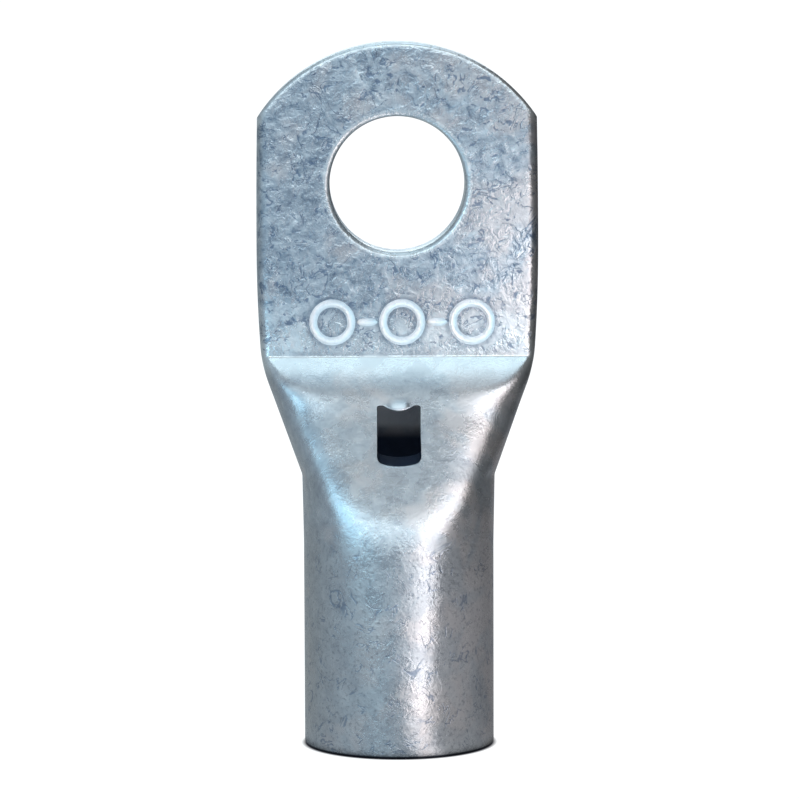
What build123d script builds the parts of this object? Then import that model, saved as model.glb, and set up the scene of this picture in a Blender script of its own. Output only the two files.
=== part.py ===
"""Tubular compression lug: a copper tube with one end pressed into a flat tongue.

The barrel's axis is Z and its mouth lies on the plane Z = 0, so the tongue points up.
The sloped face, the sight window and the shoulder are on the front, towards -Y.
Lengths are in millimetres.
"""

import os
from math import hypot, sqrt

from build123d import *

# Tube
tube_outer = 9.0            # outer diameter of the barrel
tube_wall = 1.0             # wall of the tube before and after pressing
tube_swell = 0.06           # how far each side has moved out where the taper starts
mouth_edge = 0.15           # rounding of the outer edge at the mouth
mouth_lead = 0.2            # lead-in that guides the strands into the barrel

# Heights above the mouth
swell_start = 9.7           # where the tube stops being round, because the press is near
front_slope_start = 10.1    # where the front of the tube starts to lean back
back_slope_start = 12.6     # where the back of the tube starts to lean forward
spread_start = 12.9         # where the sides start to spread
back_slope_end = 17.6       # where the back reaches the tongue
skin_start = 17.1           # where the taper begins to round over into the long sides
spread_end = 18.0           # where the taper would end without that rounding
pinch_height = 18.2         # where the inside of the tube is pressed shut
tongue_start = 18.45        # foot of the shoulder, where the tongue begins
round_end = 19.2            # where the sides reach the tongue's own rounding
stud_height = 26.6          # centre of the stud hole

# Tongue
tongue_width = 13.35        # at its widest
widest_height = 23.5        # height of that widest place
tongue_thickness = 2.1      # two walls pressed together
tongue_front = 0.0          # how far the front face lies behind the barrel's axis
side_bulge = 0.48           # how far the pressed sides stand out past the flat faces
side_depth = 2.0            # half depth of the oval that the sides are part of
root_width = 12.92          # width where the sides stop spreading
crown_width = 13.05         # width that the sides draw in to at the end of the blank
end_radius = 7.9            # arc of the tongue's end
end_offset = 1.2            # how far the arc's centre lies below the stud hole
shear_edge = 0.2            # rounding that the shear leaves on the front of the end

# Pressed form
shoulder_rise = 1.15        # how far the shoulder stands in front of the tongue
shoulder_length = 1.2       # its height along the axis
lead_depth = 0.12           # depth reached by the slight lean that the slope starts with
lead_ratio = 0.1            # steepness of that lean
front_blend = 4.0           # radius where the lean turns into the slope
back_blend = 1.5            # radius where the back slope runs into the tongue
skin_sections = 8           # sections that the tongue's skin is drawn through

# Stud hole
stud_bore = 6.4             # clearance for a 6 mm stud
stud_edge = 0.2             # rounding that the punch leaves on the front rim

# Sight window in the sloped front
window_width = 2.05
window_low = 13.57          # height of its lowest point
window_high = 16.3          # height of its upper corners
window_sag = 0.18           # how far its lower edge bows down
window_corner = 0.35        # radius of its lower corners
lip_width = 1.45            # lip of metal that the press pushed over the upper edge
lip_drop = 0.27             # how far the lip hangs into the window
lip_corner = 0.2            # radius of the upper corners

# Derived values
tube_radius = tube_outer / 2
bore_radius = tube_radius - tube_wall
swollen_radius = tube_radius + tube_swell
seam = tongue_front + tongue_thickness / 2
tongue_back = tongue_front + tongue_thickness
arc_height = stud_height - end_offset
overall_length = arc_height + end_radius
shoulder_top = tongue_start - shoulder_length
front_ratio = (tube_radius - shoulder_rise + tongue_front) / (shoulder_top - front_slope_start)
back_ratio = (tube_radius - tongue_back) / (back_slope_end - back_slope_start)
front_wall = tube_wall * hypot(1, front_ratio)
back_wall = tube_wall * hypot(1, back_ratio)

# The sides are the ends of ovals. This half width gives them their bulge.
side_reach = side_bulge / (1 - sqrt(1 - (tongue_thickness / 2 / side_depth)**2))


def front_height(depth):
    """Height at which the front slope lies at a depth along Y."""
    return front_slope_start + (depth + tube_radius) / front_ratio


def back_height(depth):
    """Height at which the back slope lies at a depth along Y."""
    return back_slope_start + (tube_radius - depth) / back_ratio


def half_width(height):
    """Half of the spread tube's width above the barrel: a taper, then long bowed sides."""
    if height <= spread_end:
        share = (height - spread_start) / (spread_end - spread_start)
        return swollen_radius + share * (root_width / 2 - swollen_radius)
    if height <= widest_height:
        share = (widest_height - height) / (widest_height - spread_end)
        return (tongue_width - share**2 * (tongue_width - root_width)) / 2
    share = (height - widest_height) / (overall_length - widest_height)
    return (tongue_width - share**2 * (tongue_width - crown_width)) / 2


def side_oval(height):
    """The oval at the right side: its centre, its half width and its half depth."""
    share = min(1, (height - spread_start) / (round_end - spread_start))
    reach = swollen_radius - share * (swollen_radius - side_reach)
    depth = tube_radius - share * (tube_radius - side_depth)
    centre_y = seam * min(1, (height - spread_start) / (spread_end - spread_start))
    return half_width(height) - reach, centre_y, reach, depth


skin_step = (overall_length - skin_start) / skin_sections
skin_heights = [skin_start + step * skin_step for step in range(skin_sections + 1)]

# Tube with its end spread: two rounded sides that part from the barrel, and what
# lies between them. The last sections are far enough apart for the skin to round
# the corner where the taper ends.
with BuildPart() as blank:
    with BuildSketch(Plane.XY):
        Circle(tube_radius)
    extrude(amount=swell_start)
    with BuildSketch(Plane.XY.offset(swell_start)):
        Circle(tube_radius)
    with BuildSketch(Plane.XY.offset(spread_start)):
        Ellipse(swollen_radius, tube_radius)
    loft(ruled=True)
    for side in (-1, 1):
        for height in (spread_start, skin_start):
            x, y, reach, depth = side_oval(height)
            with BuildSketch(Plane.XY.offset(height)):
                with Locations((side * x, y)):
                    Ellipse(reach, depth, rotation=90 + side * 90)
        loft(ruled=True)
        for height in skin_heights:
            x, y, reach, depth = side_oval(height)
            with BuildSketch(Plane.XY.offset(height)):
                with Locations((side * x, y)):
                    Ellipse(reach, depth, rotation=90 + side * 90)
        loft()
    middle = [(side_oval(height)[0], height) for height in skin_heights]
    with BuildSketch(Plane.XZ):
        with BuildLine():
            Polyline((0, spread_start), *middle, *[(-x, z) for x, z in reversed(middle)], close=True)
        make_face()
    extrude(amount=tube_outer, both=True)

# Inside of the spread tube, one wall in from the outside
with BuildPart() as bore:
    with BuildSketch(Plane.XY):
        Circle(bore_radius)
    extrude(amount=swell_start)
    with BuildSketch(Plane.XY.offset(swell_start)):
        Circle(bore_radius)
    with BuildSketch(Plane.XY.offset(spread_start)):
        Ellipse(swollen_radius - tube_wall, bore_radius)
    loft(ruled=True)
    for side in (-1, 1):
        for height in (spread_start, pinch_height):
            x, y, reach, depth = side_oval(height)
            with BuildSketch(Plane.XY.offset(height)):
                with Locations((side * x, y)):
                    Ellipse(reach - tube_wall, depth - tube_wall, rotation=90 + side * 90)
        loft(ruled=True)
    pinch_middle = side_oval(pinch_height)[0]
    with BuildSketch(Plane.XZ):
        with BuildLine():
            Polyline((0, spread_start), (pinch_middle, pinch_height), (-pinch_middle, pinch_height), close=True)
        make_face()
    extrude(amount=tube_outer, both=True)

    # What the press leaves open, seen from the side
    clear_of_bore = bore_radius + tube_wall
    with BuildSketch(Plane.YZ):
        with BuildLine():
            Polyline(
                (-clear_of_bore, 0),
                (-clear_of_bore, front_height(-clear_of_bore - front_wall)),
                (tongue_front - shoulder_rise + front_wall, shoulder_top),
                (seam, pinch_height),
                (seam, back_height(seam + back_wall)),
                (clear_of_bore, back_height(clear_of_bore + back_wall)),
                (clear_of_bore, 0),
                close=True,
            )
        make_face()
    extrude(amount=tongue_width, both=True, mode=Mode.INTERSECT)

with BuildPart() as lug:
    add(blank.part)

    # Form that the press gives the front and the back, seen from the side. The slope
    # starts with a slight lean, so that it leaves the barrel in a soft U.
    clear_of_tube = tube_radius + tube_wall
    lean_end = lead_depth - tube_radius
    lean_start = lean_end - lead_ratio * front_height(lean_end)
    with BuildSketch(Plane.YZ) as pressed:
        with BuildLine():
            Line((lean_start, 0), (lean_end, front_height(lean_end)))
            slope = Line((lean_end, front_height(lean_end)), (tongue_front - shoulder_rise, shoulder_top))
            TangentArc(slope @ 1, (tongue_front, tongue_start), tangent=slope % 1)
            Polyline(
                (tongue_front, tongue_start),
                (tongue_front, overall_length),
                (tongue_back, overall_length),
                (tongue_back, back_slope_end),
                (clear_of_tube, back_height(clear_of_tube)),
                (clear_of_tube, 0),
                (lean_start, 0),
            )
        make_face()
        corners = pressed.vertices()
        fillet(corners.sort_by_distance((lean_end, front_height(lean_end)))[0], radius=front_blend)
        fillet(corners.sort_by_distance((tongue_back, back_slope_end))[0], radius=back_blend)
    extrude(amount=tongue_width, both=True, mode=Mode.INTERSECT)

    add(bore.part, mode=Mode.SUBTRACT)

    # Rounded end of the tongue, sheared from the front
    with BuildSketch(Plane.XZ):
        with Locations((0, arc_height)):
            Circle(end_radius)
        with Locations((0, arc_height / 2)):
            Rectangle(2 * tongue_width, arc_height)
    extrude(amount=2 * tube_outer, both=True, mode=Mode.INTERSECT)
    end_edges = lug.edges().filter_by(lambda edge: edge.geom_type == GeomType.CIRCLE)
    end_edges = end_edges.filter_by_position(Axis.Y, tongue_front, tongue_front)
    fillet(end_edges.sort_by(Axis.Z)[-1], radius=shear_edge)

    # Stud hole, punched from the front
    with Locations(Plane.XZ.offset(-tongue_front)):
        with Locations((0, stud_height)):
            Hole(stud_bore / 2, depth=2 * tongue_thickness)
    fillet(lug.edges(Select.LAST).sort_by(Axis.Y)[0], radius=stud_edge)

    # Sight window, through the front wall alone
    with BuildSketch(Plane.XZ.offset(-seam)) as window:
        side = window_width / 2
        foot = window_low + window_sag
        lip = lip_width / 2
        with BuildLine():
            Polyline((-lip, window_high), (-side, window_high), (-side, foot))
            ThreePointArc((-side, foot), (0, window_low), (side, foot))
            Polyline((side, foot), (side, window_high), (lip, window_high))
            ThreePointArc((lip, window_high), (0, window_high - lip_drop), (-lip, window_high))
        make_face()
        fillet(window.vertices().filter_by_position(Axis.Y, foot, foot), radius=window_corner)
        top_corners = window.vertices().filter_by_position(Axis.Y, window_high, window_high)
        fillet([top_corners.sort_by(Axis.X)[0], top_corners.sort_by(Axis.X)[-1]], radius=lip_corner)
    extrude(amount=tube_outer, mode=Mode.SUBTRACT)

    # Mouth of the barrel: outer edge broken, inner edge opened
    mouth = lug.edges().filter_by_position(Axis.Z, 0, 0).sort_by(SortBy.LENGTH)
    fillet(mouth[-1], radius=mouth_edge)
    chamfer(mouth[0], length=mouth_lead)

lug.part.label = "lug_body"
os.makedirs("parts", exist_ok=True)
export_step(lug.part, "parts/lug_body.step")
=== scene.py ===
"""Looks of a compression lug: a tinned copper tube, pressed flat, punched and stamped.

Sizes are in millimetres, as in the CAD source. Meshes are made in metres, in the frame
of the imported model: the barrel stands on the floor and its sloped front faces -Y.
Lamps and the camera are placed in metres.
"""

from math import cos, degrees, hypot, pi, radians, sin, sqrt

import bmesh
import bpy
import numpy as np
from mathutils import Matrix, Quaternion, Vector


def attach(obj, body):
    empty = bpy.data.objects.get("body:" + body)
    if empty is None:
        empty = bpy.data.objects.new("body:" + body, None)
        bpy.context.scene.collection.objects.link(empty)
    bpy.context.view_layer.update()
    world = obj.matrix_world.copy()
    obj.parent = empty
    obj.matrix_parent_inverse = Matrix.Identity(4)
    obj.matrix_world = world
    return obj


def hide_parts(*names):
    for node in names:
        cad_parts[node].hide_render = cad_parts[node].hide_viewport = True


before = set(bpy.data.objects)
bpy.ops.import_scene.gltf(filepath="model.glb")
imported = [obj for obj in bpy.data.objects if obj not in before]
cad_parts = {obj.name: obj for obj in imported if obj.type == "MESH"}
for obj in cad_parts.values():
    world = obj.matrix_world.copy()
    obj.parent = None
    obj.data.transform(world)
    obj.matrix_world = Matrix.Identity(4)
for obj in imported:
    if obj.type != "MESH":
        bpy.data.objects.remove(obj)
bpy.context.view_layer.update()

MM = 0.001

# Tube
tube_radius = 4.5
tube_wall = 1.0
tube_swell = 0.06           # how far each side has moved out where the taper starts
mouth_edge = 0.15           # rounding of the outer edge at the mouth
mouth_lead = 0.2            # lead-in that guides the strands into the barrel

# Heights above the mouth
swell_start = 9.7           # where the tube stops being round
front_slope_start = 10.1    # where the front of the tube starts to lean back
back_slope_start = 12.6     # where the back of the tube starts to lean forward
spread_start = 12.9         # where the sides start to spread
back_slope_end = 17.6       # where the back reaches the tongue
spread_end = 18.0           # where the taper would end without its rounding
pinch_height = 18.2         # where the inside of the tube is pressed shut
tongue_start = 18.45        # foot of the shoulder, where the tongue begins
round_end = 19.2            # where the sides reach the tongue's own rounding
stud_height = 26.6          # centre of the stud hole

# Tongue
tongue_width = 13.35        # at its widest
widest_height = 23.5        # height of that widest place
tongue_thickness = 2.1      # two walls pressed together
side_bulge = 0.48           # how far the pressed sides stand out past the flat faces
side_depth = 2.0            # half depth of the oval that the sides are part of
root_width = 12.92          # width where the sides stop spreading
crown_width = 13.05         # width that the sides draw in to at the end
end_radius = 7.9            # arc of the tongue's end
end_offset = 1.2            # how far the arc's centre lies below the stud hole
shear_edge = 0.2            # rounding that the shear leaves on the front of the end

# Pressed form
shoulder_rise = 1.15        # how far the shoulder stands in front of the tongue
shoulder_length = 1.2       # its height along the axis
lean_depth = 0.12           # depth reached by the slight lean that the slope starts with
lean_ratio = 0.1            # steepness of that lean
shoulder_ratio = 1.07       # steepness of the shoulder
side_fullness = 0.55        # how much fuller than an ellipse the sides of the tongue are

# How softly one surface turns into the next
lean_softness = 0.38        # the lean at the foot of the slope into the slope
shoulder_softness = 0.42    # the slope into the shoulder
foot_softness = 0.07        # the shoulder into the tongue's face
back_softness = 0.16        # the back slope into the back of the tongue
width_softness = 0.26       # the taper into the long sides
barrel_side_softness = 0.78 # the pressed front into the sides, where it leaves the barrel
slope_side_softness = 1.5   # the same along the slope
tongue_side_softness = 0.33 # the same on the tongue
back_side_softness = 0.3    # the back into the sides, at most

# Stud hole
stud_bore = 6.4
stud_roll = 0.26            # metal that the punch drew in over the front rim
stud_break = 0.07           # broken edge at the back rim
seam_depth = 0.035          # fine joint between the two pressed walls, seen on cut edges

# Sight window
window_width = 2.05
window_low = 13.57          # height of its lowest point
window_high = 16.3          # height of its upper corners
window_sag = 0.18           # how far its lower edge bows down
window_corner = 0.35        # radius of its lower corners
window_roll = 0.07          # rounding of its edge
lip_width = 1.45            # lip of metal that the press pushed over the upper edge
lip_drop = 0.27             # how far the lip hangs into the window
lip_corner = 0.1            # radius of the upper corners
lip_roll = 0.16             # rounding of the lip's edge
lip_proud = 0.3             # how far the metal over the window swells outwards
floor_rise = 0.287          # the sill climbs by this much for each millimetre inwards

# Plain marks pressed into the tongue: a row of rings and bars
mark_rings = 3
mark_spacing = 3.3
mark_radius = 0.9
mark_bar = 1.1              # length of a bar
mark_wire = 0.22            # radius of the wire-like shape that presses each mark
mark_sink = -0.09           # that wire's centre lies in front of the tongue's face
mark_x = 0.2                # middle of the row, a little right of the tongue's middle
mark_height = 20.1

# Worked out
seam = tongue_thickness / 2
arc_height = stud_height - end_offset
overall_length = arc_height + end_radius
shoulder_top = tongue_start - shoulder_length
front_ratio = (tube_radius - shoulder_rise) / (shoulder_top - front_slope_start)
back_ratio = (tube_radius - tongue_thickness) / (back_slope_end - back_slope_start)
front_wall = tube_wall * hypot(1, front_ratio)
back_wall = tube_wall * hypot(1, back_ratio)
side_reach = side_bulge / (1 - sqrt(1 - (seam / side_depth)**2))


def soft_max(a, b, softness):
    """The larger of two values, with the change from one to the other rounded over."""
    share = np.clip(0.5 + 0.5 * (a - b) / softness, 0, 1)
    return b + share * (a - b) + softness * share * (1 - share)


def soft_min(a, b, softness):
    """The smaller of two values, with the change from one to the other rounded over."""
    return -soft_max(-a, -b, softness)


def ease(value, start, end):
    """0 before start, 1 after end, with a smooth change between them."""
    share = np.clip((value - start) / (end - start), 0, 1)
    return share * share * (3 - 2 * share)


def half_width(height):
    """Half of the spread tube's width: a taper that rounds over into long bowed sides."""
    taper = tube_radius + tube_swell
    taper = taper + (height - spread_start) / (spread_end - spread_start) * (root_width / 2 - taper)
    below = (widest_height - height) / (widest_height - spread_end)
    above = (height - widest_height) / (overall_length - widest_height)
    draw_in = np.where(
        height < widest_height,
        below**2 * (tongue_width - root_width),
        above**2 * (tongue_width - crown_width),
    )
    return soft_min(taper, (tongue_width - draw_in) / 2, width_softness)


def side_oval(height):
    """The oval at each side of a section: its centre, its half width and its half depth."""
    swelling = np.clip((height - swell_start) / (spread_start - swell_start), 0, 1)
    swollen = tube_radius + tube_swell * swelling
    share = np.clip((height - spread_start) / (round_end - spread_start), 0, 1)
    reach = swollen - share * (swollen - side_reach)
    depth = tube_radius - share * (tube_radius - side_depth)
    centre_x = np.where(height > spread_start, np.maximum(half_width(height) - reach, 0), 0)
    centre_y = seam * np.clip((height - spread_start) / (spread_end - spread_start), 0, 1)
    return centre_x, centre_y, reach, depth


def press_front(height):
    """How far back the press leaves the front of the tube: lean, slope, shoulder, tongue."""
    lean_end = front_slope_start + lean_depth / front_ratio
    lean = lean_depth - tube_radius + lean_ratio * (height - lean_end)
    slope = front_ratio * (height - front_slope_start) - tube_radius
    shoulder = shoulder_ratio * (height - tongue_start)
    front = soft_max(soft_max(lean, slope, lean_softness), shoulder, shoulder_softness)
    return soft_min(front, 0, foot_softness)


def lip_swell(x, height):
    """How far the metal over the window swells outwards where the press drew it down."""
    across = 1 - ease(abs(x), 0.25, 0.62)
    rising = ease(height, window_high - 0.75, window_high - 0.3)
    falling = 1 - ease(height, window_high - 0.25, window_high + 0.3)
    return lip_proud * across * rising * falling


def press_back(height):
    """How far back the metal reaches: the back slope, then the flat back of the tongue."""
    slope = tube_radius - back_ratio * (height - back_slope_start)
    return soft_max(slope, tongue_thickness, back_softness)


# Columns run up the lug and rows run round it. A column is placed by how far it turns
# from the middle of the front or back towards the side. They stand closer together
# where the tongue's edge is rounded and at the seam.
flat_turn = 20.0
crease_turn = degrees(np.arccos(seam / side_depth))
quarter = np.concatenate([
    np.linspace(0, flat_turn, 27)[:-1],
    np.linspace(flat_turn, crease_turn, 19)[:-1],
    np.linspace(crease_turn, 64, 7)[:-1],
    np.linspace(64, 88, 9)[:-1],
    [88, 89.3, 90],
])
steps = len(quarter) - 1
crease = int(np.argmin(abs(quarter - crease_turn)))
turn = np.radians(np.concatenate([quarter, quarter[-2::-1], quarter[1:], quarter[-2:0:-1]]))
facing = np.repeat([1.0, -1.0, -1.0, 1.0], steps)
right = np.repeat([1.0, 1.0, -1.0, -1.0], steps)
spread = np.clip(np.degrees(turn) / flat_turn, 0, 1)
columns = 4 * steps
last_level_row = 22.0       # above this height the rows start to bend towards the arc of the end


def section(height, inset=0.0):
    """Points round the spread tube at a height, or at a height for each column."""
    centre_x, centre_y, reach, depth = side_oval(height)
    out = centre_x * spread + (reach - inset) * np.sin(turn)
    over = np.clip((out - centre_x) / (reach - inset), 0, 1)
    power = 2 + side_fullness * ease(height, 16, 17.6)
    y = centre_y - facing * (depth - inset) * (1 - over**power)**(1 / power)
    return right * out, y


def press_softness(height):
    """How softly the pressed front runs into the sides."""
    softness = barrel_side_softness
    softness += (slope_side_softness - softness) * ease(height, 11.5, 14)
    return softness + (tongue_side_softness - slope_side_softness) * ease(height, 15.5, 18)


def outside(height):
    """Points round the outside after pressing."""
    x, y = section(height)
    softness = press_softness(height)
    y = soft_max(y, press_front(height) - lip_swell(x, height), softness)
    y = soft_min(y, press_back(height), np.minimum(softness, back_side_softness))
    return x, y


def inside(height):
    """Points round the inside of the barrel, which narrows to the line where it is pinched."""
    x, y = section(height, tube_wall)
    front = front_ratio * (min(height, shoulder_top) - front_slope_start) - tube_radius + front_wall
    share = max(0, (height - shoulder_top) / (pinch_height - shoulder_top))
    front = front + share * (seam - front)
    back = max(tube_radius - back_ratio * (height - back_slope_start) - back_wall, seam)
    softness = min(0.25, 0.4 * (back - front)) + 1e-6
    y = soft_max(y, front, softness)
    y = soft_min(y, back, softness)
    return x, y


def ring(x, y, height):
    """One row of points."""
    return np.stack([x, y, np.broadcast_to(height, x.shape)], axis=1)


def heights(*stops):
    """Heights from stop to stop. Each stop after the first also says how many steps lead to it."""
    found = [np.array([stops[0]], float)]
    start = stops[0]
    for end, count in stops[1:]:
        found.append(np.linspace(start, end, count + 1)[1:])
        start = end
    return np.concatenate(found)


def end_inset(y):
    """How far the sheared end lies inside its arc: the edge that the shear drew over."""
    left = np.clip(shear_edge - y, 0, shear_edge)
    return shear_edge - np.sqrt(shear_edge**2 - left**2)


def pressed_tube():
    """The whole tube as one closed skin: bore, mouth, outside and the sheared end."""
    inside_heights = heights(pinch_height, (17.2, 8), (12.6, 24), (9.4, 14), (mouth_lead, 14))
    rows = [ring(*inside(height), height) for height in inside_heights]

    # Mouth: lead-in, flat end and rounded outer edge
    x, y = section(0.0)
    for inset in (tube_wall - mouth_lead, 0.5, mouth_edge):
        rows.append(ring(x * (1 - inset / tube_radius), y * (1 - inset / tube_radius), 0.0))
    for angle in np.radians([22.5, 45, 67.5]):
        inset = mouth_edge * (1 - sin(angle))
        height = mouth_edge * (1 - cos(angle))
        rows.append(ring(x * (1 - inset / tube_radius), y * (1 - inset / tube_radius), height))

    barrel_and_slope = heights(mouth_edge, (9.2, 26), (13.2, 34), (17.1, 28))
    shoulder = heights(17.1, (18.2, 16), (18.65, 14), (19.6, 10), (last_level_row, 12))[1:]
    for height in np.concatenate([barrel_and_slope, shoulder]):
        rows.append(ring(*outside(height), height))

    # Rows of the tongue, spaced so that the last one follows the arc of the end
    top = np.full(columns, 29.0)
    for _ in range(8):
        x, y = outside(top)
        out = end_radius - end_inset(y)
        top = arc_height + np.sqrt(out**2 - np.minimum(abs(x), out - 0.01)**2)
    for share in np.linspace(0, 1, 45)[1:]:
        height = last_level_row + share * (top - last_level_row)
        rows.append(ring(*outside(height), height))

    points = np.concatenate(rows)
    faces = []
    for row in range(len(rows) - 1):
        for column in range(columns):
            after = (column + 1) % columns
            low, high = row * columns, (row + 1) * columns
            faces.append((low + column, low + after, high + after, high + column))

    # Sheared end, with the fine seam between the two walls
    last = (len(rows) - 1) * columns
    depth_steps = 2 * (steps - crease)
    end = np.zeros((depth_steps + 1, 2 * crease + 1), int)
    for index in range(-crease, crease + 1):
        end[0, index + crease] = last + index % columns
        end[-1, index + crease] = last + 2 * steps - index
    extra = []
    for level in range(1, depth_steps):
        end[level, -1] = last + crease + level
        end[level, 0] = last + columns - crease - level
        side_x, side_y, _ = points[end[level, -1]]
        for index in range(1, 2 * crease):
            share = points[end[0, index]][0] / points[end[0, -1]][0]
            inset = end_inset(side_y)
            if level == depth_steps // 2:
                inset += seam_depth * (1 - share**6)
            x = side_x * share
            z = arc_height + sqrt((end_radius - inset)**2 - x**2)
            end[level, index] = len(points) + len(extra)
            extra.append((x, side_y, z))
    for level in range(depth_steps):
        for index in range(2 * crease):
            corner = end[level:level + 2, index:index + 2]
            faces.append((corner[0, 0], corner[0, 1], corner[1, 1], corner[1, 0]))
    return np.concatenate([points, np.array(extra)]), faces


def solid(name, points, faces):
    """An object from points in millimetres, closed and with its faces outwards."""
    mesh = bpy.data.meshes.new(name)
    mesh.from_pydata((np.asarray(points) * MM).tolist(), [], [tuple(map(int, face)) for face in faces])
    work = bmesh.new()
    work.from_mesh(mesh)
    bmesh.ops.remove_doubles(work, verts=work.verts, dist=5e-7)
    bmesh.ops.dissolve_degenerate(work, edges=work.edges, dist=1e-8)
    bmesh.ops.recalc_face_normals(work, faces=work.faces)
    work.to_mesh(mesh)
    work.free()
    made = bpy.data.objects.new(name, mesh)
    bpy.context.scene.collection.objects.link(made)
    return made


def stack(name, loops):
    """A closed object skinned through loops of points, from the first loop to the last."""
    count = len(loops[0])
    faces = [tuple(range(count)), tuple(range((len(loops) - 1) * count, len(loops) * count))]
    for level in range(len(loops) - 1):
        for index in range(count):
            after = (index + 1) % count
            low, high = level * count, (level + 1) * count
            faces.append((low + index, low + after, high + after, high + index))
    return solid(name, np.concatenate(loops), faces)


def stud_punch():
    """What the punch takes out of the tongue, with the rim that it draws in.

    Its profile runs from in front of the tongue to behind it.
    """
    radius = stud_bore / 2
    profile = [(-0.4, radius + stud_roll + 0.02)]
    for angle in np.radians(np.linspace(2, 90, 11)):
        profile.append((stud_roll * (1 - cos(angle)) - 0.004, radius + stud_roll * (1 - sin(angle))))
    profile += [
        (seam - 0.04, radius),
        (seam, radius + seam_depth),
        (seam + 0.04, radius),
        (tongue_thickness - stud_break, radius),
        (tongue_thickness - 0.3 * stud_break, radius + 0.3 * stud_break),
        (tongue_thickness + 0.4, radius + stud_break + 0.4),
    ]
    around = np.linspace(0, 2 * pi, 161)[:-1]
    loops = []
    for y, out in profile:
        x, z = out * np.cos(around), stud_height + out * np.sin(around)
        loops.append(np.stack([x, np.full(len(around), y), z], axis=1))
    return stack("stud_punch", loops)


def rounded(corners, radii, count=8):
    """A closed outline with each corner rounded, as points a short way apart."""
    outline = []
    total = len(corners)
    for index in range(total):
        here = np.array(corners[index], float)
        back = np.array(corners[index - 1], float) - here
        ahead = np.array(corners[(index + 1) % total], float) - here
        back_unit, ahead_unit = back / np.hypot(*back), ahead / np.hypot(*ahead)
        radius = radii[index]
        if radius == 0:
            outline.append(here)
            continue
        half = np.arccos(np.clip(back_unit @ ahead_unit, -1, 1)) / 2
        reach = radius / np.tan(half)
        inwards = back_unit + ahead_unit
        middle = here + inwards / np.hypot(*inwards) * radius / np.sin(half)
        start, end = here + back_unit * reach - middle, here + ahead_unit * reach - middle
        sweep = pi - 2 * half
        for share in np.linspace(0, 1, count):
            blend = (np.sin((1 - share) * sweep) * start + np.sin(share * sweep) * end) / np.sin(sweep)
            outline.append(middle + blend)
    return np.array(outline)


def respaced(outline, count):
    """The same closed outline as evenly spaced points."""
    closed = np.vstack([outline, outline[:1]])
    along = np.concatenate([[0], np.cumsum(np.hypot(*np.diff(closed, axis=0).T))])
    wanted = np.linspace(0, along[-1], count + 1)[:-1]
    return np.stack([np.interp(wanted, along, closed[:, axis]) for axis in (0, 1)], axis=1)


def window_punch():
    """What is taken out of the front wall for the sight window."""
    # Outline as seen from the front
    side, lip = window_width / 2, lip_width / 2
    sill = np.linspace(-0.6, 0.6, 9)
    bow = np.linspace(1, -1, 15)
    corners = [(-side, window_high), (-side, window_low + window_sag)]
    corners += [(side * share, window_low + window_sag * share**2) for share in sill]
    corners += [(side, window_low + window_sag), (side, window_high)]
    corners += [(lip * share, window_high - lip_drop * (1 - share**2)) for share in bow]
    radii = [lip_corner, window_corner] + [0] * len(sill) + [window_corner, lip_corner] + [0] * len(bow)
    outline = respaced(rounded(corners, radii), 150)

    # At each of its points: the way outwards, and how much its edge is rolled over
    ahead = np.roll(outline, -1, axis=0) - np.roll(outline, 1, axis=0)
    away = np.stack([-ahead[:, 1], ahead[:, 0]], axis=1) / np.hypot(*ahead.T)[:, None]
    away *= np.sign(np.sum(away * (outline - outline.mean(axis=0))))
    on_lip = ease(outline[:, 1], window_high - lip_drop - 0.25, window_high - lip_drop)
    on_lip = on_lip * (1 - ease(abs(outline[:, 0]), 0.15, lip))
    roll = window_roll + (lip_roll - window_roll) * on_lip
    on_sill = 1 - ease(outline[:, 1], window_low, window_low + 0.9)

    # Depth and growth of the outline, from in front of the wall to its inside
    loops = []
    for angle in np.radians([-1, 2, 8, 16, 25, 35, 45, 55, 65, 75, 84, 90]):
        depth = roll * (1 - cos(angle)) - 0.004
        out = roll * (1 - sin(angle))
        if angle < 0:
            depth = np.full(len(roll), -0.9)
            out = roll + 0.02
        loops.append((depth, out))
    for depth in (1.06, 1.7):
        loops.append((np.full(len(roll), depth), np.zeros(len(roll))))

    rings = []
    for depth, out in loops:
        place = outline + away * out[:, None]
        place[:, 1] += on_sill * floor_rise * np.clip(depth, 0, None)
        y = front_ratio * (place[:, 1] - front_slope_start) - tube_radius + depth
        rings.append(np.stack([place[:, 0], y, place[:, 1]], axis=1))
    return stack("window_punch", rings)


def cut(body, *punches):
    """Takes the punches out of a body and leaves a plain mesh."""
    for punch in punches:
        step = body.modifiers.new(punch.name, "BOOLEAN")
        step.operation = "DIFFERENCE"
        step.solver = "EXACT"
        step.object = punch
    bpy.context.view_layer.update()
    made = bpy.data.meshes.new_from_object(body.evaluated_get(bpy.context.evaluated_depsgraph_get()))
    made.name = body.name
    body.modifiers.clear()
    body.data = made
    for punch in punches:
        bpy.data.objects.remove(punch)


def add_node(tree, kind, inputs=None, **settings):
    """A node with its settings, and with a value or a link for each input that is named."""
    made = tree.nodes.new(kind)
    for name, value in settings.items():
        setattr(made, name, value)
    for name, value in (inputs or {}).items():
        if isinstance(value, bpy.types.NodeSocket):
            tree.links.new(value, made.inputs[name])
        else:
            made.inputs[name].default_value = value
    return made


def calculate(tree, operation, *values):
    """A calculation with one, two or three numbers."""
    return add_node(tree, "ShaderNodeMath", dict(enumerate(values)), operation=operation).outputs[0]


def calculate_vector(tree, operation, first, second):
    """A calculation with two vectors."""
    return add_node(tree, "ShaderNodeVectorMath", {0: first, 1: second}, operation=operation).outputs[0]


def length_of(tree, vector):
    """How long a vector is."""
    return add_node(tree, "ShaderNodeVectorMath", {0: vector}, operation="LENGTH").outputs["Value"]


def parts_of(tree, vector):
    """The X, Y and Z of a vector."""
    return add_node(tree, "ShaderNodeSeparateXYZ", {0: vector}).outputs


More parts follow.
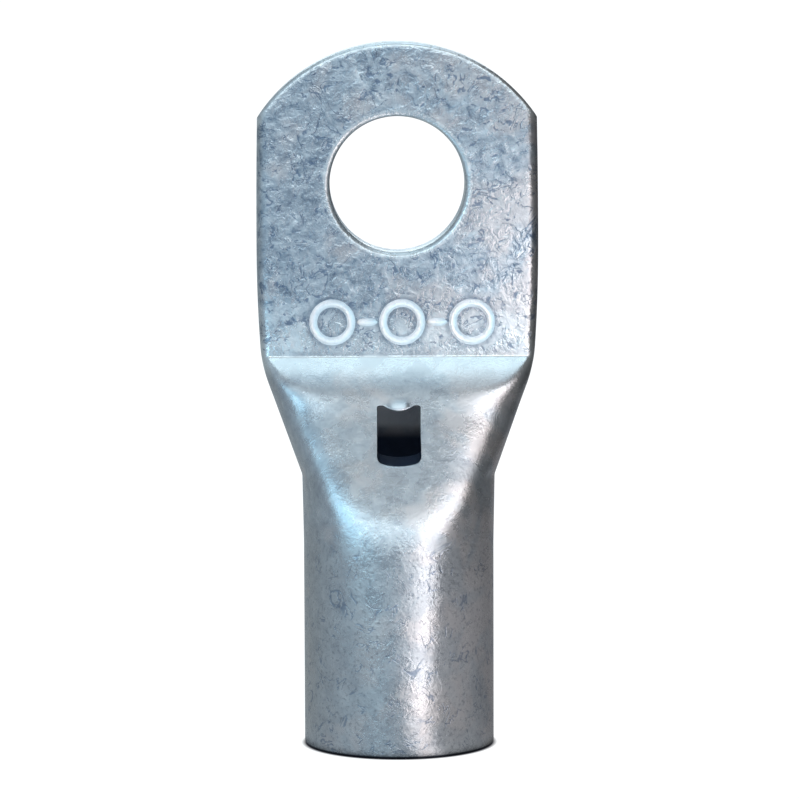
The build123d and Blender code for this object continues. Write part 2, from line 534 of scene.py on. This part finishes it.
def object_place(tree):
    """Where a point lies on its object, in metres."""
    return add_node(tree, "ShaderNodeTexCoord").outputs["Object"]


def rise(tree, value, start, end):
    """0 up to start, 1 from end, and a straight climb between them."""
    climb = {"Value": value, "From Min": start, "From Max": end}
    return add_node(tree, "ShaderNodeMapRange", climb).outputs[0]


def mixed(tree, share, first, second):
    """A first colour, with this share of a second one."""
    return add_node(tree, "ShaderNodeMix", {0: share, 6: first, 7: second}, data_type="RGBA").outputs[2]


def colour_ramp(tree, factor, low, high, stops):
    """Colours laid out between a low and a high value of the factor."""
    ramp = add_node(tree, "ShaderNodeValToRGB", {0: rise(tree, factor, low, high)})
    elements = ramp.color_ramp.elements
    while len(elements) < len(stops):
        elements.new(0.5)
    for element, (value, colour) in zip(elements, stops):
        element.position = (value - low) / (high - low)
        element.color = (*colour, 1)
    return ramp.outputs[0]


def mark_row():
    """Nodes that make a row of rings with a short bar between each two."""
    tree = bpy.data.node_groups.new("mark_row", "GeometryNodeTree")
    for name, kind in (
        ("Rings", "Int"),
        ("Spacing", "Float"),
        ("Ring radius", "Float"),
        ("Bar length", "Float"),
        ("Wire radius", "Float"),
        ("Place", "Vector"),
        ("Finish", "Material"),
    ):
        tree.interface.new_socket(name, in_out="INPUT", socket_type="NodeSocket" + kind)
    tree.interface.new_socket("Geometry", in_out="OUTPUT", socket_type="NodeSocketGeometry")
    given = add_node(tree, "NodeGroupInput").outputs

    def combine(operation, *values):
        return calculate(tree, operation, *values)

    def row(count, piece):
        half = combine("MULTIPLY", combine("SUBTRACT", count, 1.0), -0.5)
        start = add_node(tree, "ShaderNodeCombineXYZ", {"X": combine("MULTIPLY", half, given["Spacing"])})
        step = add_node(tree, "ShaderNodeCombineXYZ", {"X": given["Spacing"]})
        places = {"Count": count, "Start Location": start.outputs[0], "Offset": step.outputs[0]}
        line = add_node(tree, "GeometryNodeMeshLine", places)
        spread_out = {"Points": line.outputs[0], "Instance": piece.outputs[0]}
        return add_node(tree, "GeometryNodeInstanceOnPoints", spread_out).outputs[0]

    def circle(points, radius):
        size = {"Resolution": points, "Radius": radius}
        return add_node(tree, "GeometryNodeCurvePrimitiveCircle", size).outputs[0]

    def change(geometry, **how):
        return add_node(tree, "GeometryNodeTransform", {"Geometry": geometry.outputs[0], **how})

    wire, loop = circle(16, given["Wire radius"]), circle(56, given["Ring radius"])
    ring = add_node(tree, "GeometryNodeCurveToMesh", {"Curve": loop, "Profile Curve": wire})
    ring = change(ring, Rotation=(pi / 2, 0, 0))

    size = {"Segments": 32, "Rings": 16, "Radius": given["Wire radius"]}
    ball = add_node(tree, "GeometryNodeMeshUVSphere", size)
    length = combine("DIVIDE", combine("MULTIPLY", given["Bar length"], 0.5), given["Wire radius"])
    stretch = add_node(tree, "ShaderNodeCombineXYZ", {"X": length, "Y": 1.0, "Z": 1.0})
    bar = change(ball, Scale=stretch.outputs[0])

    joined = add_node(tree, "GeometryNodeJoinGeometry")
    tree.links.new(row(given["Rings"], ring), joined.inputs[0])
    tree.links.new(row(combine("SUBTRACT", given["Rings"], 1.0), bar), joined.inputs[0])
    placed = change(joined, Translation=given["Place"])
    real = add_node(tree, "GeometryNodeRealizeInstances", {"Geometry": placed.outputs[0]})
    coat = {"Geometry": real.outputs[0], "Material": given["Finish"]}
    dressed = add_node(tree, "GeometryNodeSetMaterial", coat)
    add_node(tree, "NodeGroupOutput", {"Geometry": dressed.outputs[0]})
    return tree


def marks_punch(finish):
    """What the marks take out of the front of the tongue."""
    punch = bpy.data.objects.new("marks_punch", bpy.data.meshes.new("marks_punch"))
    bpy.context.scene.collection.objects.link(punch)
    maker = punch.modifiers.new("mark_row", "NODES")
    maker.node_group = mark_row()
    wanted = {
        "Rings": mark_rings,
        "Spacing": mark_spacing * MM,
        "Ring radius": mark_radius * MM,
        "Bar length": mark_bar * MM,
        "Wire radius": mark_wire * MM,
        "Place": (mark_x * MM, mark_sink * MM, mark_height * MM),
        "Finish": finish,
    }
    for socket in maker.node_group.interface.items_tree:
        if socket.name in wanted:
            maker[socket.identifier] = wanted[socket.name]
    bpy.context.view_layer.update()
    made = bpy.data.meshes.new_from_object(punch.evaluated_get(bpy.context.evaluated_depsgraph_get()))
    punch.modifiers.clear()
    punch.data = made
    return punch


def mark_inner(body):
    """Marks what lies inside the skin of the barrel: its bore and the cut walls of the window."""
    points = np.array([vertex.co for vertex in body.data.vertices]) / MM
    x, y, height = abs(points[:, 0]), points[:, 1], points[:, 2]
    front, back = press_front(height), press_back(height)

    # The bore lies deeper than the roundings of the outer skin reach
    centre_x, centre_y, reach, depth = side_oval(height)
    over = np.clip((x - centre_x) / (reach - 0.2), 0, 1)
    in_bore = abs(y - centre_y) < (depth - 0.2) * np.sqrt(1 - over**2)
    in_bore &= (over < 1) & (height < pinch_height)
    in_bore &= (y > front + 0.2 + 0.35 * press_softness(height)) & (y < back - 0.3)

    window_side = window_width / 2 + 0.125
    cut_wall = (x < window_side) & (height > window_low - 0.57) & (height < window_high + 0.3)
    cut_wall &= (y > front + 0.06) & (y < 0)

    inner = body.data.attributes.new("inner", "FLOAT", "POINT")
    inner.data.foreach_set("value", (in_bore | cut_wall).astype(float))


def tinned_copper():
    """Dull tin over copper: cloudy plating with fine grain, short dark scuffs and smudges, and painted
    highlights and painted shade.
    """
    finish = bpy.data.materials.new("tinned_copper")
    finish.use_nodes = True
    tree = finish.node_tree
    shader = tree.nodes["Principled BSDF"]
    place = calculate_vector(tree, "MULTIPLY", object_place(tree), (1000, 1000, 1000))
    split = parts_of(tree, place)
    side, depth, height = split["X"], split["Y"], split["Z"]

    def noise(scale, detail, roughness=0.5, distortion=0.0, start=0.0, where=None):
        moved = calculate_vector(tree, "ADD", where or place, (start, start, start))
        settings = {"Scale": scale, "Detail": detail, "Roughness": roughness, "Distortion": distortion}
        return add_node(tree, "ShaderNodeTexNoise", {"Vector": moved, **settings}).outputs["Fac"]

    def step(value, start, end, low=0.0, high=1.0):
        ends = {"From Min": start, "From Max": end, "To Min": low, "To Max": high}
        smooth = {"interpolation_type": "SMOOTHSTEP"}
        return add_node(tree, "ShaderNodeMapRange", {"Value": value, **ends}, **smooth).outputs[0]

    def combine(operation, *values):
        return calculate(tree, operation, *values)

    def blend(share, first, second):
        return mixed(tree, share, first, second)

    def distance(where, centre):
        return length_of(tree, calculate_vector(tree, "SUBTRACT", where, centre))

    on_tongue = step(height, 18.4, 18.9)
    below_tongue = combine("SUBTRACT", 1.0, on_tongue)
    on_barrel = step(height, 9.0, 11.5, 1.0, 0.0)
    inner = add_node(tree, "ShaderNodeAttribute", attribute_name="inner").outputs["Fac"]

    # Lighter edges: the rim of the stud hole and the upper part of the sheared end, partly wear and
    # partly painted highlight where the end faces up to the light
    in_front_view = calculate_vector(tree, "MULTIPLY", place, (1, 0, 1))
    rim = stud_bore / 2 + stud_roll
    on_rim = step(distance(in_front_view, (0, 0, stud_height)), rim, rim + 0.12, 1.0, 0.0)
    on_end = step(distance(in_front_view, (0, 0, arc_height)), end_radius - 0.34, end_radius - 0.2)
    on_end = combine("MULTIPLY", on_end, step(height, arc_height, arc_height + 1))
    edges = combine("MAXIMUM", on_rim, on_end)
    off_edges = combine("SUBTRACT", 1.0, edges)

    # Cloudy plating drawn out along one slant, more even below the tongue
    turned = {"Vector": place, "Rotation": (0, radians(28), 0), "Scale": (0.8, 1, 1)}
    slant = add_node(tree, "ShaderNodeMapping", turned).outputs[0]
    clouds = colour_ramp(tree, noise(1.8, 8.0, 0.76, 0.5, 0.0, slant), 0.3, 0.7, [
        (0.36, (0.17, 0.23, 0.31)),
        (0.44, (0.36, 0.43, 0.5)),
        (0.56, (0.52, 0.59, 0.65)),
        (0.68, (0.78, 0.83, 0.87)),
    ])
    colour = blend(combine("MULTIPLY", below_tongue, 0.6), clouds, (0.49, 0.52, 0.55, 1))
    warm = combine("ADD", noise(0.42, 3.0, 0.55, 0.4, 40.0), combine("MULTIPLY", side, 0.016))
    warm = step(warm, 0.47, 0.64, 0.0, 0.6)
    colour = blend(warm, colour, (0.66, 0.63, 0.63, 1))
    colour = blend(combine("MULTIPLY", on_barrel, 0.3), colour, (0.36, 0.36, 0.36, 1))

    # Painted highlight on the shoulder, which faces up to the light, fading up the foot of the tongue in
    # lighter patches; and the lighter edges, partly wear and partly painted highlight
    patches = step(noise(1.2, 4.0, 0.62, 0.3, 51.0), 0.4, 0.54, 0.45, 1.0)
    patches = combine("MAXIMUM", patches, step(height, 18.4, 18.6, 1.0, 0.0))
    foot = combine("MULTIPLY", step(height, 17.3, 18.3, 0.0, 0.9), step(height, 18.9, 21.6, 1.0, 0.0))
    highlit_and_worn = combine("MAXIMUM", combine("MULTIPLY", foot, patches), combine("MULTIPLY", edges, 0.65))
    colour = blend(highlit_and_worn, colour, (0.77, 0.83, 0.86, 1))

    # Dark speckle on the barrel
    speckle = step(noise(6.5, 2.0, 0.6, 0.0, 33.0), 0.54, 0.7, 0.0, 0.4)
    colour = blend(combine("MULTIPLY", speckle, on_barrel), colour, (0.12, 0.14, 0.17, 1))

    # Short dark scuffs: pieces of the contour lines of a twisted noise
    scuffed = combine("MAXIMUM", on_tongue, combine("MULTIPLY", on_barrel, 0.75))
    scuffed = combine("MULTIPLY", scuffed, off_edges)
    strokes = combine("ABSOLUTE", combine("SUBTRACT", noise(0.7, 3.0, 0.55, 1.8, 11.0), 0.5))
    strokes = step(strokes, 0.008, 0.026, 1.0, 0.0)
    broken = combine("ADD", noise(1.1, 2.0, 0.5, 0.0, 23.0), combine("MULTIPLY", on_tongue, 0.03))
    strokes = combine("MULTIPLY", combine("MULTIPLY", strokes, step(broken, 0.5, 0.57)), scuffed)

    # Smudges along the same slant as the clouds, only on the tongue
    smudges = step(noise(2.1, 4.0, 0.66, 0.4, 71.0, slant), 0.58, 0.65)
    smudges = combine("MULTIPLY", combine("MULTIPLY", smudges, on_tongue), off_edges)
    scuffs = combine("MAXIMUM", combine("MULTIPLY", strokes, 0.72), combine("MULTIPLY", smudges, 0.75))
    colour = blend(scuffs, colour, (0.1, 0.15, 0.24, 1))

    # Painted shade on the face close round the pressed rings
    along_row = combine("SUBTRACT", side, mark_x)
    row_end = mark_rings * mark_spacing / 2
    near_marks = step(combine("ABSOLUTE", along_row), row_end, row_end + 0.1, 1.0, 0.0)
    near_marks = combine("MULTIPLY", near_marks, step(height, 18.8, 18.9))
    near_marks = combine("MULTIPLY", near_marks, step(height, 21.3, 21.5, 1.0, 0.0))
    from_centre = add_node(tree, "ShaderNodeCombineXYZ", {
        "X": combine("WRAP", along_row, mark_spacing / 2, -mark_spacing / 2),
        "Y": combine("SUBTRACT", height, mark_height),
    })
    from_ring = combine("SUBTRACT", length_of(tree, from_centre.outputs[0]), mark_radius)
    painted_shade_round_rings = step(combine("ABSOLUTE", from_ring), 0.2, 0.48, 0.55, 0.0)
    painted_shade_round_rings = combine("MULTIPLY", painted_shade_round_rings, step(depth, 0.0, 0.03, 1.0, 0.0))
    colour = blend(combine("MULTIPLY", painted_shade_round_rings, near_marks), colour, (0.16, 0.21, 0.28, 1))

    # Painted highlight in the marks, on the lip over the window and high inside the window
    in_marks = combine("MULTIPLY", step(depth, 0.0, 0.04), step(depth, 0.3, 0.4, 1.0, 0.0))
    painted_highlight = combine("MULTIPLY", near_marks, in_marks)
    painted_highlight = combine("MAXIMUM", painted_highlight, step(distance(place, (0, -2.1, 16.15)), 0.35, 0.7, 1.0, 0.0))
    painted_highlight = combine("MAXIMUM", painted_highlight, combine("MULTIPLY", inner, step(height, 14.7, 15.1)))
    colour = blend(combine("MULTIPLY", painted_highlight, 0.9), colour, (0.92, 0.96, 0.99, 1))

    # Painted shade low inside the window and the bore, and a painted dark reflection on the rim of the
    # mouth, which faces the floor
    painted_shade_low = combine("MULTIPLY", inner, step(height, 14.2, 14.9, 0.95, 0.0))
    painted_shade_low = combine("MAXIMUM", painted_shade_low, step(height, 0.08, 0.16, 0.85, 0.0))
    colour = blend(painted_shade_low, colour, (0.02, 0.04, 0.09, 1))
    tree.links.new(colour, shader.inputs["Base Color"])

    rough = step(noise(0.9, 3.0, 0.6, 0.3, 90.0), 0.3, 0.7, 0.2, 0.34)
    rough = combine("ADD", rough, combine("MULTIPLY", scuffs, 0.12))
    rough = combine("ADD", rough, combine("MULTIPLY", combine("MAXIMUM", inner, painted_highlight), 0.2))
    tree.links.new(rough, shader.inputs["Roughness"])

    # Fine grain all over, dents on the tongue and the barrel, and scuffs that are cut in
    grain = noise(7.0, 4.0, 0.7, 0.0, 5.0)
    dented = combine("MAXIMUM", combine("MULTIPLY", on_tongue, 1.6), on_barrel)
    dents = combine("MULTIPLY", noise(2.8, 2.0, 0.5, 0.8, 60.0), dented)
    relief = combine("ADD", combine("MULTIPLY", grain, 0.8), dents)
    relief = combine("SUBTRACT", relief, combine("MULTIPLY", scuffs, 0.5))
    bump = add_node(tree, "ShaderNodeBump", {"Height": relief, "Strength": 1.0, "Distance": 0.00002})
    tree.links.new(bump.outputs[0], shader.inputs["Normal"])
    shader.inputs["Metallic"].default_value = 1.0
    return finish


def plain_sheet(name, centre, across, along):
    """A flat rectangle for the stage, and the empty node tree of its material.

    It is given by its centre and by half of its width and of its length.
    """
    centre, across, along = Vector(centre), Vector(across), Vector(along)
    corners = [centre - across - along, centre + across - along]
    corners += [centre + across + along, centre - across + along]
    mesh = bpy.data.meshes.new(name)
    mesh.from_pydata([corner * MM for corner in corners], [], [(0, 1, 2, 3)])
    finish = bpy.data.materials.new(name)
    finish.use_nodes = True
    finish.node_tree.nodes.clear()
    mesh.materials.append(finish)
    sheet = bpy.data.objects.new(name, mesh)
    bpy.context.scene.collection.objects.link(sheet)
    return sheet, finish.node_tree


def show_in_reflections(sheet, tree, tone):
    """Makes a sheet glow in a tone, for the lug's reflections alone."""
    glow = add_node(tree, "ShaderNodeEmission", {"Color": tone})
    add_node(tree, "ShaderNodeOutputMaterial", {"Surface": glow.outputs[0]})
    sheet.visible_camera = False
    sheet.visible_diffuse = False
    sheet.visible_shadow = False


def lay_floor():
    """A white floor, with painted shadow where the lug stands on it."""
    _, tree = plain_sheet("floor", (0, 0, 0), (2500, 0, 0), (0, 2500, 0))
    tone = colour_ramp(tree, length_of(tree, object_place(tree)), 0, 0.01, [
        (0.0035, (0.3, 0.3, 0.3)),
        (0.004, (0.02, 0.02, 0.02)),
        (0.00445, (0.02, 0.02, 0.03)),
        (0.00468, (1.0, 1.0, 1.0)),
    ])
    matt = add_node(tree, "ShaderNodeBsdfDiffuse", {"Color": tone})
    glow = add_node(tree, "ShaderNodeEmission", {"Color": tone, "Strength": 1.22})
    mix = add_node(tree, "ShaderNodeMixShader", {0: 0.75, 1: matt.outputs[0], 2: glow.outputs[0]})
    add_node(tree, "ShaderNodeOutputMaterial", {"Surface": mix.outputs[0]})


def lay_card():
    """A card just over the floor, which only the lug's reflections show.

    Its tone goes by the direction from the lug, with one set of tones near it and another far in front.
    Under the lug it is dark: a painted shadow that only the reflections show.
    """
    card, tree = plain_sheet("card", (0, 0, 0.02), (2500, 0, 0), (0, 2500, 0))
    place = object_place(tree)
    split = parts_of(tree, place)
    ahead = calculate(tree, "MULTIPLY", split["Y"], -1.0)
    around = calculate(tree, "ARCTAN2", split["X"], ahead)
    near = colour_ramp(tree, around, -pi, pi, [
        (radians(-130), (0.36, 0.39, 0.4)),
        (radians(-60), (0.44, 0.5, 0.55)),
        (radians(-15), (0.46, 0.54, 0.61)),
        (radians(8), (0.44, 0.49, 0.54)),
        (radians(14), (1.6, 1.5, 1.5)),
        (radians(25), (1.6, 1.5, 1.5)),
        (radians(33), (0.5, 0.5, 0.51)),
        (radians(70), (0.42, 0.42, 0.43)),
        (radians(110), (0.24, 0.24, 0.25)),
    ])
    far = colour_ramp(tree, around, -pi / 2, pi / 2, [
        (radians(-3), (0.39, 0.49, 0.59)),
        (radians(4), (0.51, 0.59, 0.66)),
        (radians(16), (0.62, 0.62, 0.65)),
        (radians(60), (0.55, 0.52, 0.52)),
    ])
    tone = mixed(tree, rise(tree, ahead, 0.024, 0.028), near, far)
    under = colour_ramp(tree, length_of(tree, place), 0, 0.01, [
        (0.003, (0.7, 0.7, 0.7)),
        (0.0036, (0.0, 0.0, 0.0)),
        (0.0044, (0.0, 0.0, 0.0)),
        (0.0055, (1.0, 1.0, 1.0)),
    ])
    show_in_reflections(card, tree, calculate_vector(tree, "MULTIPLY", tone, under))


def stand_screen(name, side, nearest, low, high):
    """A screen at one side of the lug, splayed a little, which only its reflections show.

    It begins nearest the camera and has two tones near the floor and two higher up, each
    time one for its front half and one for its back half.
    """
    farthest, distance, splay, half_height = 80, 19.6, 0.098, 30
    middle, half_length = (farthest + nearest) / 2, (farthest - nearest) / 2
    centre = (side * (distance + splay * middle), middle, half_height)
    across = (side * splay * half_length, half_length, 0)
    screen, tree = plain_sheet(name, centre, across, (0, 0, half_height))
    split = parts_of(tree, object_place(tree))
    tones = []
    for front, back in (low, high):
        tones.append(colour_ramp(tree, split["Y"], -0.03, 0.08, [(-0.012, front), (0.012, back)]))
    show_in_reflections(screen, tree, mixed(tree, rise(tree, split["Z"], 0.0055, 0.0095), *tones))


def light_studio():
    """The world: levels by the height of the direction, times levels by how far it is to the side."""
    world = bpy.data.worlds.new("studio")
    bpy.context.scene.world = world
    world.use_nodes = True
    tree = world.node_tree
    toward = parts_of(tree, add_node(tree, "ShaderNodeTexCoord").outputs["Generated"])
    by_height = colour_ramp(tree, toward["Z"], -1, 1, [
        (-0.1, (0.15, 0.18, 0.21)),
        (0.12, (0.17, 0.2, 0.23)),
        (0.24, (1.0, 1.1, 1.15)),
        (0.42, (1.0, 1.1, 1.15)),
        (0.52, (0.28, 0.295, 0.305)),
        (0.74, (0.3, 0.315, 0.325)),
        (0.93, (0.4, 0.48, 0.53)),
        (1.0, (0.7, 0.83, 0.89)),
    ])
    by_side = colour_ramp(tree, toward["X"], -1, 1, [
        (-1.0, (0.3, 0.33, 0.35)),
        (-0.56, (0.34, 0.38, 0.4)),
        (-0.3, (0.95, 1.0, 1.0)),
        (0.3, (1.0, 0.98, 0.98)),
        (0.6, (0.4, 0.4, 0.41)),
        (1.0, (0.2, 0.2, 0.21)),
    ])
    both = calculate_vector(tree, "MULTIPLY", by_height, by_side)
    tree.links.new(both, tree.nodes["Background"].inputs["Color"])
    tree.nodes["Background"].inputs["Strength"].default_value = 2.0


def direction(azimuth, elevation):
    """The direction to something that stands so many degrees to the right of the front and up."""
    around, up = radians(azimuth), radians(elevation)
    return Vector((sin(around) * cos(up), -cos(around) * cos(up), sin(up)))


def soft_box(name, azimuth, elevation, distance, wide, high, level, colour, faces=0.017):
    """A soft lamp that faces the lug's axis at a height. Its level is the brightness of its face."""
    lamp = bpy.data.lights.new(name, "AREA")
    lamp.shape = "RECTANGLE"
    lamp.size = wide
    lamp.size_y = high
    lamp.color = colour
    lamp.energy = level * pi * wide * high
    stand = bpy.data.objects.new(name, lamp)
    bpy.context.scene.collection.objects.link(stand)
    away = direction(azimuth, elevation)
    stand.location = Vector((0, 0, faces)) + away * distance
    stand.rotation_euler = away.to_track_quat("Z", "Y").to_euler()
    stand.visible_camera = False


def aim_camera(target, azimuth, elevation, distance, roll):
    """The camera that sees what the photograph shows."""
    picture = bpy.data.cameras.new("camera")
    picture.sensor_width = 36
    picture.lens = 190.4
    picture.clip_start = 0.01
    picture.clip_end = 10
    camera = bpy.data.objects.new("camera", picture)
    bpy.context.scene.collection.objects.link(camera)
    away = direction(azimuth, elevation)
    camera.location = Vector(target) + away * distance
    turn = away.to_track_quat("Z", "Y") @ Quaternion((0, 0, 1), radians(roll))
    camera.rotation_euler = turn.to_euler()
    bpy.context.scene.camera = camera


finish = tinned_copper()
lug = solid("lug", *pressed_tube())
cut(lug, stud_punch(), window_punch(), marks_punch(finish))
mark_inner(lug)
lug.data.materials.clear()
lug.data.materials.append(finish)
lug.data.polygons.foreach_set("material_index", np.zeros(len(lug.data.polygons), int))
lug.data.shade_smooth()
lug.data.set_sharp_from_angle(angle=radians(32))
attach(lug, "root")
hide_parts("lug_body")

lay_floor()
lay_card()
stand_screen(
    "right_screen", 1, -24,
    low=[(0.5, 0.5, 0.52), (0.24, 0.24, 0.25)],
    high=[(0.2, 0.2, 0.2), (0.07, 0.07, 0.07)],
)
stand_screen(
    "left_screen", -1, -30,
    low=[(0.46, 0.54, 0.61), (0.36, 0.4, 0.42)],
    high=[(0.4, 0.47, 0.54), (0.32, 0.36, 0.38)],
)
light_studio()
soft_box("low_strip", 20, 0, 0.014, 0.0042, 0.012, 2.0, (1, 0.93, 0.93), 0.0062)
soft_box("right_strip", 36, 7, 0.02, 0.012, 0.012, 1.75, (1, 0.91, 0.89))
soft_box("left_strip", -46, 14, 0.018, 0.009, 0.008, 1.6, (0.5, 0.84, 1), 0.0095)
soft_box("left_box", -44, 13, 0.5, 0.36, 0.26, 2.6, (0.54, 0.87, 1))
aim_camera((0.00006, 0, 0.01642), -0.8, 6.3, 0.2, -0.2)
bpy.context.scene.view_settings.view_transform = "Standard"
